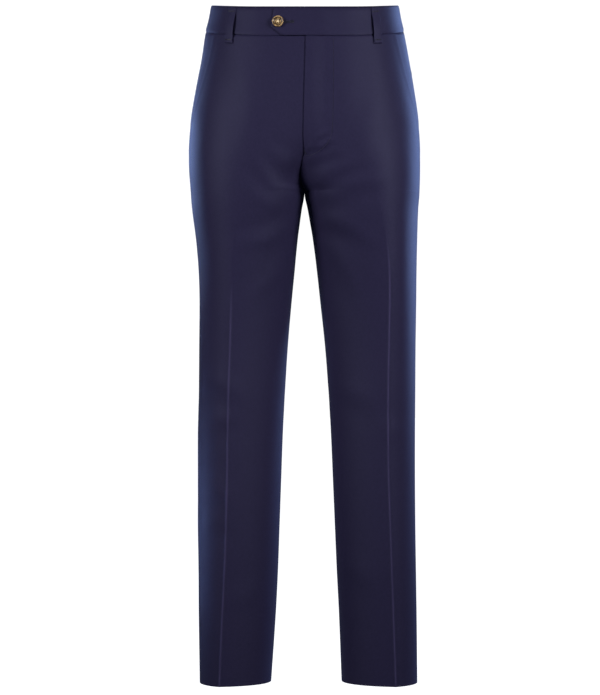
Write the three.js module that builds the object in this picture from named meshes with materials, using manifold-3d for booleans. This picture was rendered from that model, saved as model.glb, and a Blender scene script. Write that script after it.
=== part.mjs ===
// Flat-front chino trousers in a satin twill, filled out as worn: an open waist, two hollow legs
// with pressed creases, and open hems.
//
// Millimetres. +Z is up, the front faces -Y and +X is the wearer's left. The origin is the middle
// of the waistband ring, which is where the wearer holds the trousers up.
//
// The cloth is one family of level sections. Above the crotch a section runs from the centre front
// round the hip to the centre back. Below it the same curve closes into the ring of a leg. Each
// panel is a stretch of that family with a wall of its own, and what is sewn on it follows the same
// surface, moved out.

import * as THREE from 'three';
import { mergeVertices } from 'three/addons/utils/BufferGeometryUtils.js';
import Module from 'manifold-3d';

// Cloth and seams
const CLOTH = 1.5;
const SEAM_GAP = 0.3;

// Heights, measured at the side of the body
const BAND_TOP = 20;
const BAND_BOTTOM = -20;
const CROTCH = -272;
const HEM = -1027;

// The waist sits lower in front than behind: the level sections tip with it and are level again
// at WAIST_TIP_END.
const WAIST_TIP = 0.158;
const WAIST_TIP_EASE = 0.00025;
const WAIST_TIP_END = -190;

// Where the seat reaches furthest back, from the middle
const SEAT_X = 74;

// The heights over which the back takes the shape of a leg, whose crease lies opposite the front's
const LEG_SHAPE_FROM = -200;
const LEG_SHAPE_FULL = -297;

// The crotch seam is drawn with closer rows below this height
const RISE_TOP = -118;

// Waistband, tab and underlap
const BAND_WALL = 2.0;
const BAND_PROUD = 0.6;
const TAB_TIP = 50.5;
const TAB_TOP_CORNER = 46;
const TAB_BOTTOM_CORNER = 34.5;
const TAB_TIP_HEIGHT = -7;
const TAB_RAISE = 1.8;
const TAB_RAISE_FROM = 48;
const TAB_RAISE_FULL = 22;
const UNDERLAP_SINK = 0.9;
const UNDERLAP_REACH = 18;
const UNDERLAP_SINK_FROM = 80;
const UNDERLAP_SINK_FULL = 56;

// Fly. The lapped edge leans: at the waist it stops short of the middle, and lower down it passes it.
const FLY_END = -216;
const FLY_LAP_TOP = -2.0;
const FLY_LAP_LOW = 2.5;
const FLY_UNDER = 6;
const FLY_RAISE = 2.5;
const FLY_RAISE_FROM = 34;
const FLY_RAISE_FULL = 8;
const UNDER_RAISE = 0.7;
const UNDER_RAISE_FROM = 16;
const UNDER_RAISE_FULL = 2;
const FLY_FADE = 25;
const FLY_NEXT_COLUMN = 1.5;
const SHIELD_RIGHT = 32;
const SHIELD_LEFT = 36;
const SHIELD_END = -172;

// Below the fly the front seam is pulled over to the wearer's right, and it is back at the crotch
const DRIFT = 7.2;
const DRIFT_MOST_AT = -247;
const DRIFT_SPAN = 22;
const DRIFT_WIDTH = 45;
const DRIFT_DEPTH = 40;
const DRIFT_START = 6;
const DRIFT_STOP = 12;

// Side pockets
const MOUTH_SET_IN = 58;
const MOUTH_END = -210;
const MOUTH_CURVE = 3;
const FACING_UNDER = 12;
const FACING_DEEPER = 1.0;
const FACING_EASE = 30;
const FACING_BELOW_MOUTH = 3;
const FACING_LEAST = 1;

// Belt loops
const LOOP_WIDTH = 14;
const LOOP_CLOTH = 1.5;
const FRONT_LOOPS = {
  left: { arc: 113.8, lean: 0.24 },
  right: { arc: 118, lean: 0.3 },
};
const SIDE_LOOP = { arc: 262, lean: 1 };

// Back pocket welts
const WELT_ARC = 315;
const WELT_LENGTH = 132;
const WELT_HEIGHT = 11;
const WELT_Z = -84;
const WELT_WALL = 1.1;
const WELT_STAND_OFF = 0.5;

// Tab button
const BUTTON_ARC = 39.9;
const BUTTON_HEIGHT = -0.3;
const BUTTON_RADIUS = 8.5;
const BUTTON_THICK = 3.2;
const BUTTON_SIDES = 28;
const BUTTON_HOLE_RADIUS = 1.3;
const BUTTON_HOLE_OFFSET = 2.1;
const BUTTON_HOLE_SIDES = 10;

// The button's outline from its back to its dished middle, as shares of its radius and thickness
const BUTTON_PROFILE = [
  [0, 0],
  [0.72, 0],
  [1, 0.45],
  [1, 0.7],
  [0.88, 1],
  [0.72, 0.92],
  [0.58, 0.66],
  [0, 0.62],
];

// The level sections, as distances in mm. outL and outR are the outer outline of the wearer's left
// and right leg seen from the front, inL and inR the inner outline, and creaseL and creaseR the
// place where the front reaches furthest forward. front, back, side and inseam are places along Y.
// outFull and inFull are the exponents of the rounding towards the outer and the inner side (1 is
// an ellipse and less is fuller), and press is the sharpness of the crease. Above the crotch the
// middle plane cuts the inner side off: meet is the share of it that is cut, so that the two
// halves meet in one U of a seam.
const COLUMNS = ['z', 'outL', 'outR', 'inL', 'inR', 'creaseL', 'creaseR',
  'front', 'back', 'side', 'inseam', 'outFull', 'inFull', 'press', 'meet'];
const SECTIONS = [
  [20, 145.5, 144, 0, 0, 26, 26, -104, 104, 0, 0, 0.94, 0.9, 0, 0.95],
  [-2, 149.5, 148, 0, 0, 26, 26, -107, 107, 0, 0, 0.94, 0.9, 0, 0.95],
  [-21, 154, 153, 0, 0, 28, 28, -109.5, 110, 1, 0, 0.93, 0.9, 0, 0.95],
  [-64, 162, 159.5, 0, 0, 32, 32, -114, 117, 2, 0, 0.91, 0.9, 0, 0.95],
  [-111, 170, 168.5, 0, 0, 40, 38, -117, 125, 3, 0, 0.89, 0.88, 0, 0.9],
  [-157, 176.5, 176, 0, 0, 54, 50, -118, 131, 3, 0, 0.88, 0.86, 0, 0.78],
  [-190, 178, 178, 0, 0, 68, 62, -117, 132, 3, 0, 0.88, 0.84, 0, 0.62],
  [-227, 179, 179, 0, 0, 88, 78, -114, 127, 2, -4, 0.89, 0.78, 0, 0.3],
  [-272, 178, 176, 0, 0, 106, 94, -109, 114, 1, -10, 0.92, 0.72, 0.02, 0],
  [-297, 176, 174, 5, 4.2, 113, 99, -106, 106, 0, -8, 0.95, 0.73, 0.05, 0],
  [-343, 174.5, 168, 13, 10.5, 123, 106, -99, 96, -1, -4, 0.98, 0.79, 0.12, 0],
  [-390, 173.5, 164, 19, 15, 128, 109, -93, 88, -2, 0, 1, 0.86, 0.2, 0],
  [-436, 173, 162.5, 24, 19.5, 129, 111, -87, 82, -3, 3, 1, 0.92, 0.26, 0],
  [-506, 172, 163, 31.5, 25.5, 128, 113, -80, 76, -4, 6, 1, 0.96, 0.32, 0],
  [-576, 171.5, 163.5, 37, 30, 127, 115.5, -76, 74, -5, 8, 1, 0.96, 0.36, 0],
  [-645, 171, 165, 41, 33.5, 127, 117, -73, 73, -6, 9, 1, 0.95, 0.39, 0],
  [-715, 171, 165, 44, 36, 128, 118, -71, 73, -6, 9, 1, 0.93, 0.41, 0],
  [-785, 171.5, 165, 47, 38.5, 130.5, 119.5, -70, 72, -7, 10, 1, 0.9, 0.42, 0],
  [-855, 172.5, 164, 50, 41, 133, 122, -69, 71, -7, 10, 1, 0.88, 0.42, 0],
  [-924, 173.5, 163.5, 53.5, 44.5, 135.5, 125.5, -67, 70, -8, 10, 1, 0.84, 0.42, 0],
  [-1027, 174.5, 162, 57.5, 51.5, 139, 130, -66.5, 70, -8, 10, 1, 0.8, 0.42, 0],
];

// Rows of the panels, from the waist seam down: close together round the crotch, wider below
const ROWS_TO_RISE = [BAND_BOTTOM - SEAM_GAP, -34, -52, -74, -96];
const RISE_ROWS = 12;
const RISE_CROWDING = 1.7;
const LEG_ROWS = 22;
const LEG_CROWDING = 1.25;

// Columns across each piece
const QUARTER_STEPS = 60;
const INNER_COLUMNS = 6;
const OUTER_COLUMNS = 7;
const FACING_COLUMNS = 4;
const SHIELD_COLUMNS = 6;
const LEFT_BAND_COLUMNS = { toEased: 8, beyond: 15 };
const RIGHT_BAND_COLUMNS = { toEased: 7, beyond: 14 };
const LOOP_COLUMNS = 3;
const BACK_LOOP_COLUMNS = 4;
const WELT_COLUMNS = 9;
const WELT_ROWS = 2;

// How far apart the two places are from which a slope of the cloth is taken
const SLOPE_STEP = 0.7;
const SLOPE_FROM_END = 0.8;

// Points closer together than this are one point
const WELD = 1e-4;

const LEFT = { name: 'left', letter: 'L', sign: 1 };
const RIGHT = { name: 'right', letter: 'R', sign: -1 };
LEFT.other = RIGHT;
RIGHT.other = LEFT;

const NAVY = { color: 0x29273d, roughness: 0.62, metalness: 0 };
const NAVY_SHADE = { color: 0x232136, roughness: 0.7, metalness: 0 };
const HORN = { color: 0x7a5a38, roughness: 0.35, metalness: 0 };

const clamp01 = (value) => Math.min(1, Math.max(0, value));
const lerp = (from, to, share) => from + (to - from) * share;

function smooth(edge0, edge1, value) {
  const t = clamp01((value - edge0) / (edge1 - edge0));
  return t * t * (3 - 2 * t);
}

// A column of the table at any height, as a cubic through its rows
function tableValue(column, z) {
  const c = COLUMNS.indexOf(column);
  const last = SECTIONS.length - 1;
  const slope = (i) => {
    const a = SECTIONS[Math.max(0, i - 1)];
    const b = SECTIONS[Math.min(last, i + 1)];
    return (b[c] - a[c]) / (b[0] - a[0]);
  };
  let i = 0;
  while (i < last - 1 && z < SECTIONS[i + 1][0]) i += 1;
  const [top, low] = [SECTIONS[i], SECTIONS[i + 1]];
  const span = low[0] - top[0];
  const t = clamp01((z - top[0]) / span);
  const t2 = t * t;
  const t3 = t2 * t;
  return (2 * t3 - 3 * t2 + 1) * top[c] + (t3 - 2 * t2 + t) * span * slope(i)
    + (3 * t2 - 2 * t3) * low[c] + (t3 - t2) * span * slope(i + 1);
}

// A quarter turn from a place where the cloth faces sideways to a crease, where it faces along Y
function quarterTurn(start, crease, full, press) {
  const points = [];
  for (let i = 0; i <= QUARTER_STEPS; i += 1) {
    const t = i / QUARTER_STEPS;
    const angle = (t * Math.PI) / 2;
    const across = 1 - Math.cos(angle) ** full;
    const along = lerp(Math.sin(angle) ** full, t, press);
    points.push([lerp(start[0], crease[0], across), lerp(start[1], crease[1], along)]);
  }
  return points;
}

// The same on the inner side, where the middle plane cuts the start of the turn off
function innerTurn(inner, inseam, crease, full, press, meet) {
  if (meet <= 0) return quarterTurn([inner, inseam], crease, full, press);
  const start = (-crease[0] * meet) / (1 - meet);
  const points = quarterTurn([start, inseam], crease, full, press);
  const first = points.findIndex(([x]) => x > 0);
  const [a, b] = [points[first - 1], points[first]];
  return [[0, lerp(a[1], b[1], a[0] / (a[0] - b[0]))], ...points.slice(first)];
}

const sectionCache = new Map();

// The half section of one leg at a height, with the distance along it at each point
function sectionAt(leg, z) {
  const key = leg.name + z.toFixed(4);
  if (sectionCache.has(key)) return sectionCache.get(key);
  const value = (column) => tableValue(column, z);
  const out = value('out' + leg.letter);
  const inner = Math.max(0, value('in' + leg.letter));
  const frontX = value('crease' + leg.letter);
  const backX = lerp(SEAT_X, inner + out - frontX, smooth(LEG_SHAPE_FROM, LEG_SHAPE_FULL, z));
  const meet = z > CROTCH ? Math.max(0, value('meet')) : 0;
  const [outFull, inFull, press] = [value('outFull'), value('inFull'), value('press')];
  const inseam = value('inseam');
  const side = [out, value('side')];
  const frontCrease = [frontX, value('front')];
  const backCrease = [backX, value('back')];
  const runs = [
    innerTurn(inner, inseam, frontCrease, inFull, press, meet),
    quarterTurn(side, frontCrease, outFull, press).reverse(),
    quarterTurn(side, backCrease, outFull, press),
    innerTurn(inner, inseam, backCrease, inFull, press, meet).reverse(),
  ];
  const points = [runs[0][0]];
  const arcs = [0];
  const marks = [];
  for (const run of runs) {
    for (const point of run.slice(1)) {
      const before = points[points.length - 1];
      arcs.push(arcs[arcs.length - 1] + Math.hypot(point[0] - before[0], point[1] - before[1]));
      points.push(point);
    }
    marks.push(arcs[arcs.length - 1]);
  }
  const section = { points, arcs, crease: marks[0], side: marks[1], backCrease: marks[2], end: marks[3] };
  sectionCache.set(key, section);
  return section;
}

function tipped(x, y, z) {
  const share = smooth(WAIST_TIP_END, BAND_BOTTOM, z);
  return new THREE.Vector3(x, y, z + share * (WAIST_TIP * y - WAIST_TIP_EASE * y * y));
}

// A point of the cloth. A distance below 0, or past the end, runs on over the middle onto the
// other leg's side, as the tab does.
function clothPoint(leg, z, arc) {
  const section = sectionAt(leg, z);
  if (arc < 0) return clothPoint(leg.other, z, -arc);
  if (arc > section.end + 1e-6) {
    return clothPoint(leg.other, z, sectionAt(leg.other, z).end - (arc - section.end));
  }
  let low = 0;
  let high = section.arcs.length - 1;
  while (high - low > 1) {
    const middle = (low + high) >> 1;
    if (section.arcs[middle] <= arc) low = middle;
    else high = middle;
  }
  const t = clamp01((arc - section.arcs[low]) / (section.arcs[high] - section.arcs[low] || 1));
  const [a, b] = [section.points[low], section.points[high]];
  return tipped(leg.sign * lerp(a[0], b[0], t), lerp(a[1], b[1], t), z);
}

// The direction out of the cloth, from its two slopes
function clothNormal(leg, z, arc) {
  const side = arc < 0 ? leg.other : leg;
  const section = sectionAt(side, z);
  const place = Math.min(Math.max(Math.abs(arc), SLOPE_FROM_END), section.end - SLOPE_FROM_END);
  const [before, after] = [place - SLOPE_STEP, place + SLOPE_STEP];
  const around = clothPoint(side, z, after).sub(clothPoint(side, z, before));
  const up = clothPoint(side, z + SLOPE_STEP, place).sub(clothPoint(side, z - SLOPE_STEP, place));
  return around.cross(up).multiplyScalar(side.sign).normalize();
}

function onCloth(leg, z, arc, out) {
  return clothPoint(leg, z, arc).addScaledVector(clothNormal(leg, z, arc), out);
}

// Closes two grids of points, the outer and the inner face of a wall, into one solid
function wallFromGrids(outer, inner) {
  const rows = outer.length;
  const columns = outer[0].length;
  const positions = [];
  for (const grid of [outer, inner]) {
    for (const row of grid) {
      for (const p of row) positions.push(p.x, p.y, p.z);
    }
  }
  const index = [];
  const at = (i, j, layer) => layer * rows * columns + i * columns + j;
  const quad = (a, b, c, d) => index.push(a, b, c, a, c, d);
  for (let i = 0; i < rows - 1; i += 1) {
    for (let j = 0; j < columns - 1; j += 1) {
      quad(at(i, j, 0), at(i + 1, j, 0), at(i + 1, j + 1, 0), at(i, j + 1, 0));
      quad(at(i, j, 1), at(i, j + 1, 1), at(i + 1, j + 1, 1), at(i + 1, j, 1));
    }
    const last = columns - 1;
    quad(at(i, 0, 0), at(i, 0, 1), at(i + 1, 0, 1), at(i + 1, 0, 0));
    quad(at(i, last, 0), at(i + 1, last, 0), at(i + 1, last, 1), at(i, last, 1));
  }
  for (let j = 0; j < columns - 1; j += 1) {
    const last = rows - 1;
    quad(at(0, j, 0), at(0, j + 1, 0), at(0, j + 1, 1), at(0, j, 1));
    quad(at(last, j, 0), at(last, j, 1), at(last, j + 1, 1), at(last, j + 1, 0));
  }
  const geometry = new THREE.BufferGeometry();
  geometry.setAttribute('position', new THREE.Float32BufferAttribute(positions, 3));
  geometry.setIndex(index);
  return facingOut(geometry);
}

function facingOut(geometry) {
  const p = geometry.attributes.position;
  const index = geometry.index.array;
  const [a, b, c] = [new THREE.Vector3(), new THREE.Vector3(), new THREE.Vector3()];
  let volume = 0;
  for (let i = 0; i < index.length; i += 3) {
    a.fromBufferAttribute(p, index[i]);
    b.fromBufferAttribute(p, index[i + 1]);
    c.fromBufferAttribute(p, index[i + 2]);
    volume += a.dot(b.cross(c));
  }
  if (volume < 0) {
    for (let i = 0; i < index.length; i += 3) [index[i], index[i + 1]] = [index[i + 1], index[i]];
  }
  geometry.computeVertexNormals();
  return geometry;
}

// Moves a point of the front over by what the seam below the fly has drifted
function drifted(p, z) {
  const bow = Math.exp(-(((z - DRIFT_MOST_AT) / DRIFT_SPAN) ** 2));
  const ends = smooth(FLY_END, FLY_END - DRIFT_START, z) * smooth(CROTCH, CROTCH + DRIFT_STOP, z);
  const near = Math.exp(-((p.x / DRIFT_WIDTH) ** 2)) * smooth(0, -DRIFT_DEPTH, p.y);
  return p.setX(p.x - DRIFT * bow * ends * near);
}

const neverLaps = () => false;
const alwaysLaps = () => true;

// A stretch of the cloth as a wall. columnsAt gives the distances across it at a height and outAt
// how far its outer face stands off the surface. It keeps to its own side of the middle plane,
// apart from the heights where it laps over.
function clothWall(leg, heights, columnsAt, outAt, wall, lapsAt = neverLaps) {
  const least = SEAM_GAP / 2;
  const place = (z, arc, out) => {
    const p = onCloth(leg, z, arc, out);
    if (!lapsAt(z) && leg.sign * p.x < least) p.setX(leg.sign * least);
    return drifted(p, z);
  };
  const outer = [];
  const inner = [];
  for (const z of heights) {
    const arcs = columnsAt(z);
    outer.push(arcs.map((arc) => place(z, arc, outAt(z, arc))));
    inner.push(arcs.map((arc) => place(z, arc, outAt(z, arc) - wall)));
  }
  return wallFromGrids(outer, inner);
}

function spread(from, to, count) {
  return Array.from({ length: count + 1 }, (_, i) => lerp(from, to, i / count));
}

function panelHeights() {
  const rows = [...ROWS_TO_RISE];
  for (let i = 0; i <= RISE_ROWS; i += 1) {
    rows.push(CROTCH + (RISE_TOP - CROTCH) * (1 - i / RISE_ROWS) ** RISE_CROWDING);
  }
  for (let i = 1; i <= LEG_ROWS; i += 1) {
    rows.push(CROTCH + (HEM - CROTCH) * (i / LEG_ROWS) ** LEG_CROWDING);
  }
  return rows;
}

const PANEL_HEIGHTS = panelHeights();

// How far in front of the side seam the pocket mouth lies at a height
function mouthSetIn(z) {
  const share = clamp01((BAND_BOTTOM - z) / (BAND_BOTTOM - MOUTH_END));
  return MOUTH_SET_IN * (1 - share ** MOUTH_CURVE);
}

// How far the right front runs on under the left one, how far that one passes the middle, and what
// share of their height both are raised by there. On the way down they give out in this order.
const flyUnderAt = (z) => FLY_UNDER * smooth(FLY_END + FLY_FADE, FLY_END + 2 * FLY_FADE, z);
const flyRaisedAt = (z) => smooth(FLY_END - FLY_FADE, FLY_END, z);

function flyLapAt(z) {
  const down = clamp01((BAND_BOTTOM - z) / (BAND_BOTTOM - FLY_END));
  return lerp(FLY_LAP_TOP, FLY_LAP_LOW, down) * smooth(FLY_END, FLY_END + FLY_FADE, z);
}

function frontPanel(leg) {
  const lapped = leg === LEFT;
  const columnsAt = (z) => {
    const section = sectionAt(leg, z);
    const middle = SEAM_GAP / 2;
    const edge = middle - (lapped ? flyLapAt(z) : flyUnderAt(z));
    const setIn = Math.max(SEAM_GAP / 2, mouthSetIn(z));
    const next = Math.max(edge, middle) + FLY_NEXT_COLUMN;
    const inside = [edge, ...spread(next, section.crease, INNER_COLUMNS)];
    const outside = spread(section.crease, section.side - setIn, OUTER_COLUMNS);
    return [...inside, ...outside.slice(1)];
  };
  const lapRaise = (arc) => FLY_RAISE * smooth(FLY_RAISE_FROM, FLY_RAISE_FULL, arc);
  const underRaise = (arc) => UNDER_RAISE * smooth(UNDER_RAISE_FROM, UNDER_RAISE_FULL, arc);
  const outAt = (z, arc) => flyRaisedAt(z) * (lapped ? lapRaise(arc) : underRaise(arc));
  return clothWall(leg, PANEL_HEIGHTS, columnsAt, outAt, CLOTH, (z) => z > FLY_END);
}

function backPanel(leg) {
  const columnsAt = (z) => {
    const section = sectionAt(leg, z);
    const outside = spread(section.side + SEAM_GAP / 2, section.backCrease, OUTER_COLUMNS);
    const inside = spread(section.backCrease, section.end - SEAM_GAP / 2, INNER_COLUMNS);
    return [...outside, ...inside.slice(1)];
  };
  return clothWall(leg, PANEL_HEIGHTS, columnsAt, () => 0, CLOTH);
}

function pocketFacing(leg) {
  const heights = [...PANEL_HEIGHTS.filter((z) => z > MOUTH_END), MOUTH_END - FACING_BELOW_MOUTH];
  const under = -(CLOTH + SEAM_GAP + FACING_DEEPER);
  const columnsAt = (z) => {
    const { side } = sectionAt(leg, z);
    const mouth = side - mouthSetIn(z);
    const shown = Math.min(mouth, side - FACING_LEAST);
    return [mouth - FACING_UNDER, ...spread(shown, side - SEAM_GAP / 2, FACING_COLUMNS)];
  };
  const outAt = (z, arc) => {
    const mouth = sectionAt(leg, z).side - mouthSetIn(z);
    return under * (1 - smooth(mouth, mouth + FACING_EASE, arc));
  };
  return clothWall(leg, heights, columnsAt, outAt, CLOTH);
}

function flyShield() {
  const heights = PANEL_HEIGHTS.filter((z) => z > SHIELD_END);
  const columnsAt = () => spread(-SHIELD_RIGHT, SHIELD_LEFT, SHIELD_COLUMNS);
  return clothWall(LEFT, heights, columnsAt, () => -(CLOTH + SEAM_GAP), CLOTH, alwaysLaps);
}

const BAND_HEIGHTS = [
  BAND_TOP,
  (BAND_TOP + TAB_TIP_HEIGHT) / 2,
  TAB_TIP_HEIGHT,
  (BAND_BOTTOM + TAB_TIP_HEIGHT) / 2,
  BAND_BOTTOM,
];

// The tab's end leans out from both edges of the band to its point
function tabEnd(z) {
  if (z > TAB_TIP_HEIGHT) {
    return lerp(TAB_TIP, TAB_TOP_CORNER, (z - TAB_TIP_HEIGHT) / (BAND_TOP - TAB_TIP_HEIGHT));
  }
  return lerp(TAB_TIP, TAB_BOTTOM_CORNER, (TAB_TIP_HEIGHT - z) / (TAB_TIP_HEIGHT - BAND_BOTTOM));
}

function leftWaistband() {
  const columnsAt = (z) => {
    const { end } = sectionAt(LEFT, z);
    const eased = TAB_RAISE_FROM;
    const { toEased, beyond } = LEFT_BAND_COLUMNS;
    const rest = spread(eased, end - SEAM_GAP / 2, beyond);
    return [...spread(-tabEnd(z), eased, toEased), ...rest.slice(1)];
  };
  const outAt = (z, arc) => BAND_PROUD + TAB_RAISE * smooth(TAB_RAISE_FROM, TAB_RAISE_FULL, arc);
  return clothWall(LEFT, BAND_HEIGHTS, columnsAt, outAt, BAND_WALL, alwaysLaps);
}

function rightWaistband() {
  const columnsAt = (z) => {
    const { end } = sectionAt(RIGHT, z);
    const eased = UNDERLAP_SINK_FROM;
    const { toEased, beyond } = RIGHT_BAND_COLUMNS;
    const rest = spread(eased, end - SEAM_GAP / 2, beyond);
    return [...spread(-UNDERLAP_REACH, eased, toEased), ...rest.slice(1)];
  };
  const sunk = (arc) => smooth(UNDERLAP_SINK_FROM, UNDERLAP_SINK_FULL, arc);
  const outAt = (z, arc) => BAND_PROUD - UNDERLAP_SINK * sunk(arc);
  return clothWall(RIGHT, BAND_HEIGHTS, columnsAt, outAt, BAND_WALL, alwaysLaps);
}

// Rows of a belt loop from the top of the band down: the height, how far its inner face stands off
// the surface, and its thickness, which doubles where the end is folded under
const LOOP_ROWS = [
  [19, 0.9, LOOP_CLOTH],
  [11.5, 0.9, LOOP_CLOTH],
  [7, 2.0, LOOP_CLOTH],
  [0, 3.3, LOOP_CLOTH],
  [-8, 4.0, LOOP_CLOTH],
  [-16, 3.7, LOOP_CLOTH],
  [-22, 2.4, LOOP_CLOTH],
  [-26, 0.5, 2 * LOOP_CLOTH],
  [-33, 0.4, 2 * LOOP_CLOTH],
];

// lean 0 keeps the loop at one distance from the centre front, and lean 1 at one from the side
function beltLoop(leg, { arc, lean }) {
  const outer = [];
  const inner = [];
  for (const [z, standOff, thick] of LOOP_ROWS) {
    const middle = arc + lean * (sectionAt(leg, z).side - sectionAt(leg, BAND_BOTTOM).side);
    const arcs = spread(middle - LOOP_WIDTH / 2, middle + LOOP_WIDTH / 2, LOOP_COLUMNS);
    outer.push(arcs.map((a) => onCloth(leg, z, a, standOff + thick)));
    inner.push(arcs.map((a) => onCloth(leg, z, a, standOff)));
  }
  return wallFromGrids(outer, inner);
}

function backLoop() {
  const outer = [];
  const inner = [];
  for (const [z, standOff, thick] of LOOP_ROWS) {
    const { end } = sectionAt(LEFT, z);
    const arcs = spread(end - LOOP_WIDTH / 2, end + LOOP_WIDTH / 2, BACK_LOOP_COLUMNS);
    const seat = clothNormal(LEFT, z, end - LOOP_WIDTH);
    seat.setX(0).normalize();
    outer.push(arcs.map((a) => clothPoint(LEFT, z, a).addScaledVector(seat, standOff + thick)));
    inner.push(arcs.map((a) => clothPoint(LEFT, z, a).addScaledVector(seat, standOff)));
  }
  return wallFromGrids(outer, inner);
}

function backWelt(leg) {
  const heights = spread(WELT_Z + WELT_HEIGHT / 2, WELT_Z - WELT_HEIGHT / 2, WELT_ROWS);
  const [from, to] = [WELT_ARC - WELT_LENGTH / 2, WELT_ARC + WELT_LENGTH / 2];
  const columnsAt = () => spread(from, to, WELT_COLUMNS);
  return clothWall(leg, heights, columnsAt, () => WELT_STAND_OFF + WELT_WALL, WELT_WALL);
}

const wasm = await Module();
wasm.setup();

function toSolid(geometry) {
  const bare = geometry.clone();
  bare.deleteAttribute('normal');
  bare.deleteAttribute('uv');
  const merged = mergeVertices(bare, WELD);
  const vertProperties = new Float32Array(merged.attributes.position.array);
  const triVerts = new Uint32Array(merged.index.array);
  return new wasm.Manifold(new wasm.Mesh({ numProp: 3, vertProperties, triVerts }));
}

function toGeometry(solid) {
  const { vertProperties, triVerts } = solid.getMesh();
  const geometry = new THREE.BufferGeometry();
  geometry.setAttribute('position', new THREE.Float32BufferAttribute(vertProperties, 3));
  geometry.setIndex(Array.from(triVerts));
  geometry.computeVertexNormals();
  return geometry;
}

// A turned button with a raised rim, a dished middle and four holes, its back on the XY plane
function buttonGeometry() {
  const points = BUTTON_PROFILE.map(
    ([across, up]) => new THREE.Vector2(across * BUTTON_RADIUS, up * BUTTON_THICK),
  );
  const disc = new THREE.LatheGeometry(points, BUTTON_SIDES).rotateX(Math.PI / 2);
  let solid = toSolid(facingOut(mergeVertices(disc, WELD)));
  const [hole, through] = [BUTTON_HOLE_RADIUS, 3 * BUTTON_THICK];
  for (const [x, y] of [[1, 1], [1, -1], [-1, 1], [-1, -1]]) {
    const drill = new THREE.CylinderGeometry(hole, hole, through, BUTTON_HOLE_SIDES);
    drill.rotateX(Math.PI / 2).translate(x * BUTTON_HOLE_OFFSET, y * BUTTON_HOLE_OFFSET, 0);
    solid = solid.subtract(toSolid(drill));
  }
  return toGeometry(solid);
}

const trousers = new THREE.Group();

function addPiece(name, geometry, look) {
  const mesh = new THREE.Mesh(geometry, new THREE.MeshStandardMaterial(look));
  mesh.name = name;
  trousers.add(mesh);
  return mesh;
}

for (const leg of [LEFT, RIGHT]) {
  addPiece(`front_${leg.name}`, frontPanel(leg), NAVY);
  addPiece(`back_${leg.name}`, backPanel(leg), NAVY);
  addPiece(`pocket_facing_${leg.name}`, pocketFacing(leg), NAVY_SHADE);
  addPiece(`back_welt_${leg.name}`, backWelt(leg), NAVY);
  addPiece(`belt_loop_front_${leg.name}`, beltLoop(leg, FRONT_LOOPS[leg.name]), NAVY);
  addPiece(`belt_loop_side_${leg.name}`, beltLoop(leg, SIDE_LOOP), NAVY);
}
addPiece('waistband_left', leftWaistband(), NAVY);
addPiece('waistband_right', rightWaistband(), NAVY);
addPiece('fly_shield', flyShield(), NAVY_SHADE);
addPiece('belt_loop_back', backLoop(), NAVY);

const button = addPiece('tab_button', buttonGeometry(), HORN);
const tabFace = BAND_PROUD + TAB_RAISE + SEAM_GAP;
button.position.copy(onCloth(LEFT, BUTTON_HEIGHT, -BUTTON_ARC, tabFace));
button.quaternion.setFromUnitVectors(
  new THREE.Vector3(0, 0, 1),
  clothNormal(LEFT, BUTTON_HEIGHT, -BUTTON_ARC),
);

export default trousers;
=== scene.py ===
# %% [markdown]
# # Navy chino trousers
#
# Flat-front chinos in a satin-faced cotton twill, filled out as if worn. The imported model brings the
# form and the size. This lesson cuts each panel again as a fine sheet of cloth on that same form,
# gives it the creases, folds, seams and stitches that the eye looks for, and lights it.

import math

import bpy
import mathutils
import numpy as np
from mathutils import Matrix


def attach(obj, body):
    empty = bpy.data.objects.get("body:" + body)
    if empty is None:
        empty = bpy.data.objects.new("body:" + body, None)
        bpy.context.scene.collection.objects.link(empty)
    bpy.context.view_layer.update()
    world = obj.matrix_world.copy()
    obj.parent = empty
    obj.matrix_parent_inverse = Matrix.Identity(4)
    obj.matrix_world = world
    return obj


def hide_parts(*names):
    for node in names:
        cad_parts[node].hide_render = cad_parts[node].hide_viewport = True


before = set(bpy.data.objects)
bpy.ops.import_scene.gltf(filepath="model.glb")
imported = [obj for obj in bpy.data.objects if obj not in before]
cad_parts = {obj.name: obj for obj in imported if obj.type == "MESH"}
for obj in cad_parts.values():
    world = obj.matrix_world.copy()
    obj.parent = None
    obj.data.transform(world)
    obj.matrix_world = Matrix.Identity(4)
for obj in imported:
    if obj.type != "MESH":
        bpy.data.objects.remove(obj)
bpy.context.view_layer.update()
print("nodes in the frame:", len(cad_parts))

# %% [markdown]
# ## Sizes
#
# All sizes are in millimetres and are turned into metres only when a mesh is placed. The front faces
# -Y, +Z is up and +X is the wearer's left. A place on the cloth is given by its height at the side
# of the body and by the distance along the cloth from the centre front. A name that ends in OVER
# holds the two places between which something changes.

# %% Sizes that all pieces share
MM = 0.001
CLOTH = 1.3
SEAM_GAP = 0.3
SEAM_EDGE = 0.004

BAND_TOP = 20
BAND_BOTTOM = -20
CROTCH = -272
HEM = -1027
print("from the hem to the top at the side:", BAND_TOP - HEM, "mm")

# %% [markdown]
# ## The form of the cloth
#
# A tailor checks trousers by girths at fixed heights. Each row of this table is one such level
# section: how wide the leg is, where its pressed crease runs, and how deep it is. A smooth curve
# through the rows gives every height between. Above the crotch the two legs share one section, which
# the middle plane cuts, and below it each leg closes into a ring.

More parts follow.
